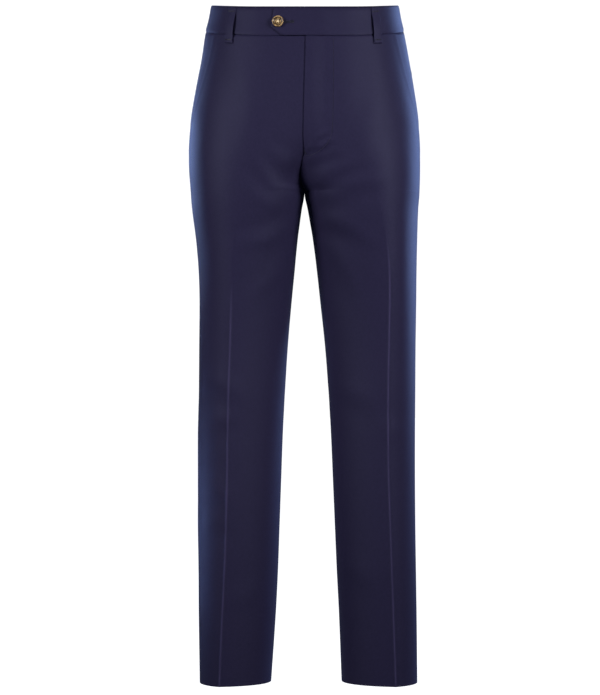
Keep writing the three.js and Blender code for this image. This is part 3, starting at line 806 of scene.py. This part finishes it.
def loop_from_path(name, place, sign):
    """place(z, across, out) gives each point. The path gets three rows for each of its own."""
    steps = np.linspace(0, len(LOOP_PATH) - 1, ROWS_PER_PLACE * len(LOOP_PATH))
    index = np.arange(len(LOOP_PATH))
    heights = np.interp(steps, index, LOOP_PATH[:, 0])
    outs = np.interp(steps, index, LOOP_PATH[:, 1])
    points = np.array([
        [place(z, a, out - LOOP_EDGE_LOWER * abs(a / (LOOP_WIDTH / 2)) ** 6) for a in LOOP_ACROSS]
        for z, out in zip(heights, outs)
    ])
    lengths = np.concatenate([[0], np.cumsum(np.hypot(np.diff(heights), np.diff(outs)))])
    flat = np.stack(np.meshgrid(LOOP_ACROSS, -lengths), axis=2)
    return sheet_from_grid(name, points, flat, sign, LOOP_THICK)


def side_place(leg, arc, lean):
    def place(z, across, out):
        shift = section_at(leg, z)["side"] - section_at(leg, BAND_BOTTOM)["side"]
        return on_cloth(leg, z, arc + lean * shift + across, out)[0]
    return place


def back_place(z, across, out):
    end = section_at("L", z)["end"]
    normal = unit(on_cloth("L", z, end - LOOP_WIDTH, 0)[1] * np.array([0, 1, 1]))
    return row_points("L", z, [end - across])[0] + normal * out


loop_places = {name: side_place(*where) for name, where in LOOP_PLACES.items()}
loop_places["loop_back"] = back_place
loops = {}
for name, place in loop_places.items():
    loops[name] = loop_from_path(name, place, 1 if name.endswith("left") else -1)
print("loops:", sorted(loops))

# %% [markdown]
# ## Back pocket welts
#
# The back isn't shown. Plain single welts are usual on such chinos: a narrow folded strip over each
# slit, a little rounded at both edges.

# %% Welts
WELT_ARC = 315
WELT_LENGTH = 132
WELT_HEIGHT = 11
WELT_Z = -84
WELT_WALL = 1.0
WELT_PROUD = 1.6
WELT_EDGE_LOWER = 0.5
WELT_ROWS = np.linspace(WELT_Z + WELT_HEIGHT / 2, WELT_Z - WELT_HEIGHT / 2, 9)
WELT_ARCS = np.linspace(WELT_ARC - WELT_LENGTH / 2, WELT_ARC + WELT_LENGTH / 2, 60)


def welt_out(points, z, arcs):
    across = np.abs(z - WELT_Z) / (WELT_HEIGHT / 2)
    return WELT_PROUD - WELT_EDGE_LOWER * across**4


welts = {}
for leg in "LR":
    points, flat = lay(leg, WELT_ROWS, lambda z: WELT_ARCS, welt_out)
    welts[leg] = leg_sheet("welt", leg, points, flat, WELT_WALL)
print("welts:", len(welts))

# %% [markdown]
# ## Button
#
# The button is turned from a horn-like blank: a disc with a raised rim and a dished middle. Four
# holes are drilled through it and a crossed thread holds it. It is made lying flat and then turned
# onto the tab, where its own axis points out of the cloth.

# %% Turn and drill the button
BUTTON_ARC = 39.9
BUTTON_HEIGHT = -0.3
BUTTON_RADIUS = 8.5
BUTTON_THICK = 3.2
BUTTON_LIFT = 0.8
BUTTON_ROUND = 0.55
RIM_WIDTH = 1.7
DISH_SLOPE = 0.9
DISH_DEPTH = 1.0
DISH_RING = 2.4
DISH_RISE = 0.15
HOLE_RADIUS = 1.3
HOLE_OFFSET = 2.1
SHARP_ANGLE = math.radians(35)

bpy.ops.object.select_all(action="DESELECT")
bpy.ops.mesh.primitive_cylinder_add(vertices=64, radius=BUTTON_RADIUS * MM, depth=BUTTON_THICK * MM)
button = bpy.context.object
button.name = "button_of_tab"
bpy.ops.object.mode_set(mode="EDIT")
bpy.ops.mesh.select_mode(type="FACE")
bpy.ops.mesh.select_all(action="DESELECT")
bpy.ops.object.mode_set(mode="OBJECT")
for face in button.data.polygons:
    face.select = face.normal.z > 0.9
bpy.ops.object.mode_set(mode="EDIT")
bpy.ops.mesh.inset(thickness=RIM_WIDTH * MM)
bpy.ops.mesh.inset(thickness=DISH_SLOPE * MM)
bpy.ops.transform.translate(value=(0, 0, -DISH_DEPTH * MM))
bpy.ops.mesh.inset(thickness=DISH_RING * MM)
bpy.ops.transform.translate(value=(0, 0, DISH_RISE * MM))
bpy.ops.object.mode_set(mode="OBJECT")
apply_modifier(button, "BEVEL", width=BUTTON_ROUND * MM, segments=4, limit_method="ANGLE",
               angle_limit=SHARP_ANGLE)
for across, up in [(1, 1), (1, -1), (-1, 1), (-1, -1)]:
    bpy.ops.object.select_all(action="DESELECT")
    bpy.ops.mesh.primitive_cylinder_add(
        vertices=20, radius=HOLE_RADIUS * MM, depth=4 * BUTTON_THICK * MM,
        location=(across * HOLE_OFFSET * MM, up * HOLE_OFFSET * MM, 0),
    )
    drill = bpy.context.object
    apply_modifier(button, "BOOLEAN", operation="DIFFERENCE", object=drill)
    bpy.data.objects.remove(drill)
only(button)
bpy.ops.object.shade_smooth_by_angle(angle=SHARP_ANGLE)
# The distance from the middle, kept for the painted shade in the dish.
ring = button.data.attributes.new("ring", "FLOAT", "POINT")
for vertex, place in zip(button.data.vertices, ring.data):
    place.value = math.hypot(vertex.co.x, vertex.co.y) / (BUTTON_RADIUS * MM)
print("button faces:", len(button.data.polygons))

# %% [markdown]
# The tab is nearly flat where the button sits. A matrix built from the direction out of the cloth
# carries the flat button there, and is then applied, so that the object itself stays at the origin.

# %% Put the button on the tab
UP_OF_BUTTON = [0.08, 0, 1]

tab_face = BAND_PROUD + TAB_RAISE + BUTTON_LIFT
seat, out_of_tab = on_cloth("L", BUTTON_HEIGHT, -BUTTON_ARC, tab_face + BUTTON_THICK / 2)
across_tab = unit(np.cross(UP_OF_BUTTON, out_of_tab))
up_tab = np.cross(out_of_tab, across_tab)
turned = np.column_stack([across_tab, up_tab, out_of_tab])
button_matrix = mathutils.Matrix.Translation(mathutils.Vector(seat * MM))
button_matrix = button_matrix @ mathutils.Matrix(turned.tolist()).to_4x4()
button.data.transform(button_matrix)
print("button at", [round(float(v), 1) for v in seat], "mm")

# %% [markdown]
# ## Threads
#
# A seam shows as a thread that rises out of the cloth and dips back into it. Each row of stitches is
# one thin tube along a path on the cloth, which sinks below the surface between two stitches. Bar
# tacks, worked edges and the crossed thread of the button are denser paths of the same kind.

# %% A tool that lays a thread
THREAD_SIDES = 6


def thread(name, laid, radius):
    """A tube along places, each with the direction out of the cloth: a grid rolled up lengthwise."""
    path, normals = (np.array(part, dtype=float) for part in zip(*laid))
    along = unit(np.gradient(path, axis=0))
    sideways = unit(np.cross(along, normals))
    upwards = np.cross(sideways, along)
    angles = np.linspace(0, 2 * math.pi, THREAD_SIDES + 1)
    around = np.cos(angles)[None, :, None] * sideways[:, None] * radius
    around = around + np.sin(angles)[None, :, None] * upwards[:, None] * radius
    points = path[:, None] + around
    lengths = np.cumsum(np.linalg.norm(np.diff(path, axis=0, prepend=path[:1]), axis=1))
    flat = np.stack(np.meshgrid(angles * radius, lengths), axis=2)
    tube = sheet_from_grid(name, points, flat, 1, 0)
    bpy.ops.object.mode_set(mode="EDIT")
    bpy.ops.mesh.select_all(action="SELECT")
    bpy.ops.mesh.remove_doubles(threshold=1e-6)
    bpy.ops.mesh.normals_make_consistent(inside=False)
    bpy.ops.object.mode_set(mode="OBJECT")
    return tube


print("thread sides:", THREAD_SIDES)

# %% [markdown]
# A machine sews running stitches and, for tacks and edges, a dense zigzag. Both run through places
# on a surface, given by a height and a distance along the cloth.

# %% Rows of stitches and zigzags
STITCH_PITCH = 3.0
STITCH_RADIUS = 0.24
STITCH_STEPS = 8
STITCH_PROUD = 0.6
STITCH_SINK = 0.75
DIP_FROM = 0.45


def stitch_row(name, places, surface):
    """A row of stitches along places (z, arc) on a surface."""
    places = np.asarray(places, dtype=float)
    steps = np.hypot(*np.diff(places, axis=0).T)
    lengths = np.concatenate([[0], np.cumsum(steps)])
    count = max(2, round(lengths[-1] / STITCH_PITCH))
    samples = np.linspace(0, lengths[-1], count * STITCH_STEPS + 1)
    phase = samples / lengths[-1] * count * 2 * math.pi
    lift = STITCH_RADIUS * STITCH_PROUD - STITCH_SINK * smooth(DIP_FROM, 1, np.cos(phase))
    heights, arcs = [np.interp(samples, lengths, places[:, k]) for k in range(2)]
    return thread(name, [surface(*place) for place in zip(heights, arcs, lift)], STITCH_RADIUS)


def zigzag(start, end, width, count):
    """Places of a zigzag from start to end, this wide and with this many turns."""
    start, end = np.array(start, float), np.array(end, float)
    along = (end - start) / np.linalg.norm(end - start)
    across = np.array([-along[1], along[0]])
    sides = [width / 2 if i % 2 else -width / 2 for i in range(count + 1)]
    return [start + (end - start) * i / count + across * side for i, side in enumerate(sides)]


def dense_thread(name, places, surface, radius, above):
    """A thread that lies on the surface and runs through these places."""
    fine = [lerp(a, b, share) for a, b in zip(places[:-1], places[1:]) for share in (0, 0.5)]
    return thread(name, [surface(z, arc, above) for z, arc in [*fine, places[-1]]], radius)


print("one stitch is", STITCH_PITCH, "mm long")

# %% [markdown]
# The stitching that holds the fly facing runs down beside the lap and curves in to its end, in the
# shape of a J. A bar tack closes it.

# %% Stitches of the fly
TACK_RADIUS = 0.22
J_STITCH = [
    (-24, 43.5), (-60, 43.5), (-100, 43.4), (-140, 43), (-170, 42.6), (-186, 41.5),
    (-196, 39), (-203.5, 35), (-210.5, 28.5), (-216, 21), (-219.3, 13), (-220, 6), (-220, 0.8),
]


def left_front(z, arc, above):
    """A point on the outer face of the left front, and the direction out of it."""
    base, normal = on_cloth("L", z, arc, 0)
    _, crease, end = front_edges("L", z)
    places = [np.array([v], dtype=float) for v in (base[0], z, arc, crease, end, base[2])]
    out = front_out("L", *places, seen_share(-normal[1]))[0]
    return drifted(base + normal * (out + above), z), normal


threads = [stitch_row("stitches_of_fly", J_STITCH, left_front)]
fly_tack = zigzag((-211, 0), (-218, 3.5), 1.8, 16)
threads.append(dense_thread("tack_of_fly", fly_tack, left_front, TACK_RADIUS, 0.15))
print("stitches of the fly: faces", [len(piece.data.polygons) for piece in threads])

# %% [markdown]
# Bar tacks also hold both ends of each belt loop, because this is where a belt pulls. The buttonhole
# is edged with a dense zigzag, and a bar closes its end away from the button.

# %% Tacks of the loops and the buttonhole
TACK_HEIGHTS = {"top": 13.5, "foot": -29.5}


def loop_surface(place):
    """The outer face of a loop, which leans with its path."""
    def surface(z, across, above):
        out = np.interp(-z, -LOOP_FACE[:, 0], LOOP_FACE[:, 1])
        low = place(z, across, out)
        high = place(z, across, out + 1)
        return low + (high - low) * above, high - low
    return surface


for name, place in loop_places.items():
    for end, z in TACK_HEIGHTS.items():
        places = zigzag((z, -LOOP_WIDTH / 2 + 1), (z, LOOP_WIDTH / 2 - 1), 1.7, 18)
        label = f"tack_{end}_of_{name}"
        threads.append(dense_thread(label, places, loop_surface(place), TACK_RADIUS, 0.12))


def tab_surface(z, arc, above):
    return on_cloth("L", z, arc, BAND_PROUD + TAB_RAISE + above)


SLIT_NEAR = -33
SLIT_FAR = -17
SLIT_UP = 1.0
BAR_UP = 2.2
above, under = BUTTON_HEIGHT + SLIT_UP, BUTTON_HEIGHT - SLIT_UP
upper = zigzag((above, SLIT_NEAR), (above, SLIT_FAR), 1.7, 44)
lower = zigzag((under, SLIT_FAR), (under, SLIT_NEAR), 1.7, 44)
threads.append(dense_thread("edge_of_buttonhole", upper + lower, tab_surface, STITCH_RADIUS, 0.1))
bar_at = SLIT_FAR + 0.6
bar = zigzag((BUTTON_HEIGHT + BAR_UP, bar_at), (BUTTON_HEIGHT - BAR_UP, bar_at), 1.4, 12)
threads.append(dense_thread("bar_of_buttonhole", bar, tab_surface, STITCH_RADIUS, 0.3))
print("threads:", len(threads))

# %% [markdown]
# The crossed thread of the button comes up through one hole, lies in the dish and goes down through
# the opposite one. Two such pairs make the cross.

# %% Crossed thread of the button
STRAND_RADIUS = 0.3
STRAND_SPREAD = 0.7
DOWN_FROM = 0.85
DOWN_SLOPE = 14
cross = []
for k, (across, up) in enumerate([(1, 1), (1, -1)]):
    for strand in (-STRAND_RADIUS, STRAND_RADIUS):
        laid = []
        for share in np.linspace(-1, 1, 17):
            depth = BUTTON_THICK * (0.5 - 0.24) + 0.12 * (1 - share**2) + 0.1 * k
            if abs(share) > DOWN_FROM:
                depth -= (abs(share) - DOWN_FROM) * DOWN_SLOPE
            flat_x = across * HOLE_OFFSET * share + strand * -up * STRAND_SPREAD
            flat_y = up * HOLE_OFFSET * share + strand * across * STRAND_SPREAD
            laid.append((seat + turned @ np.array([flat_x, flat_y, depth]), out_of_tab))
        name = f"cross_{k}_{'a' if strand < 0 else 'b'}"
        cross.append(thread(name, laid, STRAND_RADIUS))
print("strands over the button:", len(cross))

# %% [markdown]
# ## Materials
#
# Twill is woven in fine diagonal ribs. From where the photo was taken they melt into a soft sheen,
# and near the rim, where the cloth is seen edge on, it turns bluish and pale. The ribs are a wave on
# the cloth's own flat places, so they follow each panel as it was cut.

# %% Tools for materials


def new_material(name):
    material = bpy.data.materials.new(name)
    material.use_nodes = True
    nodes = material.node_tree.nodes
    return material, nodes, nodes["Principled BSDF"]


def set_inputs(node, values):
    for key, value in values.items():
        node.inputs[key].default_value = value


def new_node(nodes, kind, values):
    """A shader node with these values in its inputs."""
    node = nodes.new("ShaderNode" + kind)
    set_inputs(node, values)
    return node


def join(source, outlet, node, inlet):
    node.id_data.links.new(source.outputs[outlet], node.inputs[inlet])


def colour_mix(nodes, values):
    """A node that mixes two colours. Its kind is set before its inputs are named."""
    node = nodes.new("ShaderNodeMix")
    node.data_type = "RGBA"
    set_inputs(node, values)
    return node


print("materials so far:", len(bpy.data.materials))

# %% Navy twill
NAVY = (0.013, 0.0108, 0.0305, 1)
NAVY_RIB = (0.025, 0.02, 0.054, 1)
# A paler navy, painted along the crease as a highlight.
NAVY_CREASE_HIGHLIGHT = (0.038, 0.031, 0.076, 1)

navy, nodes, shader = new_material("navy_twill")
set_inputs(shader, {
    "Sheen Weight": 0.1, "Sheen Roughness": 0.35, "Sheen Tint": (0.34, 0.46, 1.0, 1),
    "Specular IOR Level": 0.14, "Specular Tint": (0.65, 0.69, 1.0, 1), "Roughness": 0.58,
})
place = nodes.new("ShaderNodeUVMap")
ribs = new_node(nodes, "TexWave", {"Scale": 330, "Distortion": 0.6, "Detail": 1})
ribs.wave_type = "BANDS"
ribs.bands_direction = "DIAGONAL"
join(place, "UV", ribs, "Vector")
slubs = new_node(nodes, "TexNoise", {"Scale": 260, "Detail": 3})
where = nodes.new("ShaderNodeTexCoord")
join(where, "Object", slubs, "Vector")
blend = colour_mix(nodes, {"A": NAVY, "B": NAVY_RIB})
share = nodes.new("ShaderNodeMath")
share.operation = "MULTIPLY"
join(ribs, "Fac", share, 0)
join(slubs, "Fac", share, 1)
join(share, "Value", blend, "Factor")
# Painted highlight: the paler navy is mixed into the cloth's colour along the marked crease.
pressed_and_highlight = nodes.new("ShaderNodeAttribute")
pressed_and_highlight.attribute_name = "pressed_and_highlight"
crease_highlight_mix = colour_mix(nodes, {"B": NAVY_CREASE_HIGHLIGHT})
join(pressed_and_highlight, "Fac", crease_highlight_mix, "Factor")
join(blend, "Result", crease_highlight_mix, "A")
join(crease_highlight_mix, "Result", shader, "Base Color")
bump = new_node(nodes, "Bump", {"Strength": 0.25, "Distance": 0.0002})
join(ribs, "Fac", bump, "Height")
join(bump, "Normal", shader, "Normal")
print("twill made of nodes:", len(nodes))

# %% [markdown]
# The sewing thread is dyed like the cloth, and the button is sewn on with a pale one. The button's
# horn is mottled, with painted shade in a ring on the sloping wall of its dish, just inside the rim.

# %% Threads and horn
thread_material, _, shader = new_material("navy_thread")
set_inputs(shader, {"Base Color": (0.012, 0.011, 0.028, 1), "Roughness": 0.55})

horn, nodes, shader = new_material("horn")
mottle = new_node(nodes, "TexNoise", {"Scale": 520, "Detail": 4, "Distortion": 0.8})
ramp = nodes.new("ShaderNodeValToRGB")
dark, pale = ramp.color_ramp.elements
dark.position = 0.34
dark.color = (0.03, 0.015, 0.007, 1)
pale.position = 0.68
pale.color = (0.62, 0.42, 0.2, 1)
ramp.color_ramp.elements.new(0.5).color = (0.2, 0.115, 0.045, 1)
where = nodes.new("ShaderNodeTexCoord")
join(where, "Object", mottle, "Vector")
join(mottle, "Fac", ramp, "Fac")
# Painted shade: a ramp over the distance from the middle darkens a ring on the sloping wall of the
# dish, and leaves the rim lighter than the middle.
ring_place = nodes.new("ShaderNodeAttribute")
ring_place.attribute_name = "ring"
dish_painted_shade = nodes.new("ShaderNodeValToRGB")
dish_painted_shade.color_ramp.elements[0].position = 0.55
dish_painted_shade.color_ramp.elements[0].color = (0.85, 0.85, 0.85, 1)
dish_painted_shade.color_ramp.elements[1].position = 0.82
for place, share in ((0.64, 0.22), (0.76, 0.22)):
    dish_painted_shade.color_ramp.elements.new(place).color = (share, share, share, 1)
join(ring_place, "Fac", dish_painted_shade, "Fac")
horn_with_painted_shade = colour_mix(nodes, {"Factor": 1})
horn_with_painted_shade.blend_type = "MULTIPLY"
join(ramp, "Color", horn_with_painted_shade, "A")
join(dish_painted_shade, "Color", horn_with_painted_shade, "B")
join(horn_with_painted_shade, "Result", shader, "Base Color")
set_inputs(shader, {"Roughness": 0.28})

cross_material, _, shader = new_material("pale_thread")
set_inputs(shader, {"Base Color": (0.8, 0.64, 0.4, 1), "Roughness": 0.6})
print("materials:", navy.name, thread_material.name, horn.name, cross_material.name)

# %% [markdown]
# ## Which piece stands for which part
#
# Each sheet takes the place of one solid of the imported model and moves with the same body. The
# threads only add to it.

stand_ins = {}
for leg in "LR":
    side = SIDE_NAME[leg]
    stand_ins["front_" + side] = panels["front", leg]
    stand_ins["back_" + side] = panels["back", leg]
    stand_ins["pocket_facing_" + side] = facings[leg]
    stand_ins["back_welt_" + side] = welts[leg]
    stand_ins["waistband_" + side] = bands[leg]
stand_ins["fly_shield"] = shield
stand_ins["tab_button"] = button
for name, loop in loops.items():
    stand_ins["belt_" + name] = loop

for node, piece in stand_ins.items():
    material = horn if node == "tab_button" else navy
    piece.data.materials.clear()
    piece.data.materials.append(material)
    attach(piece, "root")
    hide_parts(node)
for piece in threads + cross:
    piece.data.materials.clear()
    piece.data.materials.append(cross_material if piece in cross else thread_material)
    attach(piece, "root")


FLAT_CUTS = {
    "front_left": (0.262, 1.03), "front_right": (0.262, 1.03),
    "back_left": (0.29, 1.07), "back_right": (0.29, 1.07),
    "pocket_facing_left": (0.075, 0.2), "pocket_facing_right": (0.075, 0.2),
    "fly_shield": (0.068, 0.155),
    "waistband_left": (0.46, 0.04), "waistband_right": (0.42, 0.04),
    "back_welt_left": (0.132, 0.011), "back_welt_right": (0.132, 0.011),
    **{"belt_" + name: (0.014, 0.068) for name in loops},
}
for node, flat in FLAT_CUTS.items():
    piece = stand_ins[node]

# %% [markdown]
# ## Light and camera
#
# The photo was taken level, from a few metres away, in front of a lit white ground. Most of what
# draws the trousers is therefore the white behind them, caught at the rims, while soft light from in
# front shows the face of the cloth and fades towards the hems.

# %% Camera
CAMERA_HEIGHT = -0.510
CAMERA_DISTANCE = 3.7
METRES_PER_PIXEL = 0.00155
PICTURE_HEIGHT = 695
MIDDLE_OFF = 4.5
SENSOR = 36

bpy.ops.object.select_all(action="DESELECT")
bpy.ops.object.camera_add(
    location=(0, -CAMERA_DISTANCE, CAMERA_HEIGHT), rotation=(math.radians(90), 0, 0)
)
camera = bpy.context.object
camera.data.sensor_fit = "AUTO"
camera.data.sensor_width = SENSOR
camera.data.lens = SENSOR * CAMERA_DISTANCE / (METRES_PER_PIXEL * PICTURE_HEIGHT)
camera.data.shift_x = -MIDDLE_OFF / PICTURE_HEIGHT
bpy.context.scene.camera = camera
print("camera at", tuple(round(v, 3) for v in camera.location))

# %% [markdown]
# The floor and the ground behind look white to the camera alone. What lights the cloth from them is
# much weaker and a little blue, so that the navy keeps its depth.

# %% White floor and ground
FLOOR_HEIGHT = -1.062
WHITE = 1.05

bpy.ops.object.select_all(action="DESELECT")
bpy.ops.mesh.primitive_plane_add(size=30, location=(0, 0, FLOOR_HEIGHT))
floor = bpy.context.object
floor.name = "floor"
floor_material, nodes, shader = new_material("pale_floor")
set_inputs(shader, {
    "Base Color": (0.25, 0.25, 0.25, 1), "Roughness": 0.9, "Emission Color": (1, 1, 1, 1),
})
seen = nodes.new("ShaderNodeLightPath")
glow = nodes.new("ShaderNodeMath")
glow.operation = "MULTIPLY"
glow.inputs[1].default_value = WHITE
join(seen, "Is Camera Ray", glow, 0)
join(glow, "Value", shader, "Emission Strength")
floor.data.materials.append(floor_material)

world = bpy.data.worlds.new("studio")
bpy.context.scene.world = world
world.use_nodes = True
nodes = world.node_tree.nodes
ground = nodes["Background"]
direction = nodes.new("ShaderNodeTexCoord")
split = nodes.new("ShaderNodeSeparateXYZ")
fade = new_node(nodes, "MapRange", {
    "From Min": 0.4, "From Max": 0.95, "To Min": 0.14, "To Max": 0.45,
})
join(direction, "Generated", split, "Vector")
join(split, "Y", fade, "Value")
seen = nodes.new("ShaderNodeLightPath")
strength = nodes.new("ShaderNodeMix")
join(seen, "Is Camera Ray", strength, "Factor")
join(fade, "Result", strength, "A")
strength.inputs["B"].default_value = WHITE
join(strength, "Result", ground, "Strength")
tone = colour_mix(nodes, {"A": (0.55, 0.7, 1, 1), "B": (1, 1, 1, 1)})
join(seen, "Is Camera Ray", tone, "Factor")
join(tone, "Result", ground, "Color")
print("ground seen by the camera:", WHITE)

# %% [markdown]
# Two soft lights in front, one at either side and a little above the waist, show the face of the
# cloth. Three bluish ones from behind draw the rims.

# %% Lights
RIM_BLUE = (0.4, 0.6, 1.22)


def area_light(name, location, target, size, power, spread, colour=(1, 1, 1)):
    bpy.ops.object.light_add(type="AREA", location=location)
    light = bpy.context.object
    light.name = name
    light.data.shape = "RECTANGLE"
    light.data.size, light.data.size_y = size
    light.data.energy = power
    light.data.color = colour
    light.data.spread = math.radians(spread)
    aim = mathutils.Vector(target) - mathutils.Vector(location)
    light.rotation_euler = aim.to_track_quat("-Z", "Y").to_euler()


area_light("key", (1.6, -1.45, 0.3), (0, 0, -0.35), (0.9, 0.9), 7.2, 62)
area_light("fill", (-1.75, -1.3, 0.25), (0, 0, -0.35), (0.9, 0.9), 5.8, 62)
area_light("rim_left", (-1.1, 1.2, -0.1), (0, 0, -0.09), (0.4, 0.3), 0.45, 26, RIM_BLUE)
area_light("rim_low", (-1.3, 0.55, -0.78), (-0.1, 0, -0.78), (0.4, 0.2), 0.17, 20, RIM_BLUE)
area_light("rim_right", (1.15, 1.1, 0.15), (0, 0, -0.22), (0.4, 1.3), 5.0, 80, RIM_BLUE)
bpy.context.scene.view_settings.view_transform = "Standard"
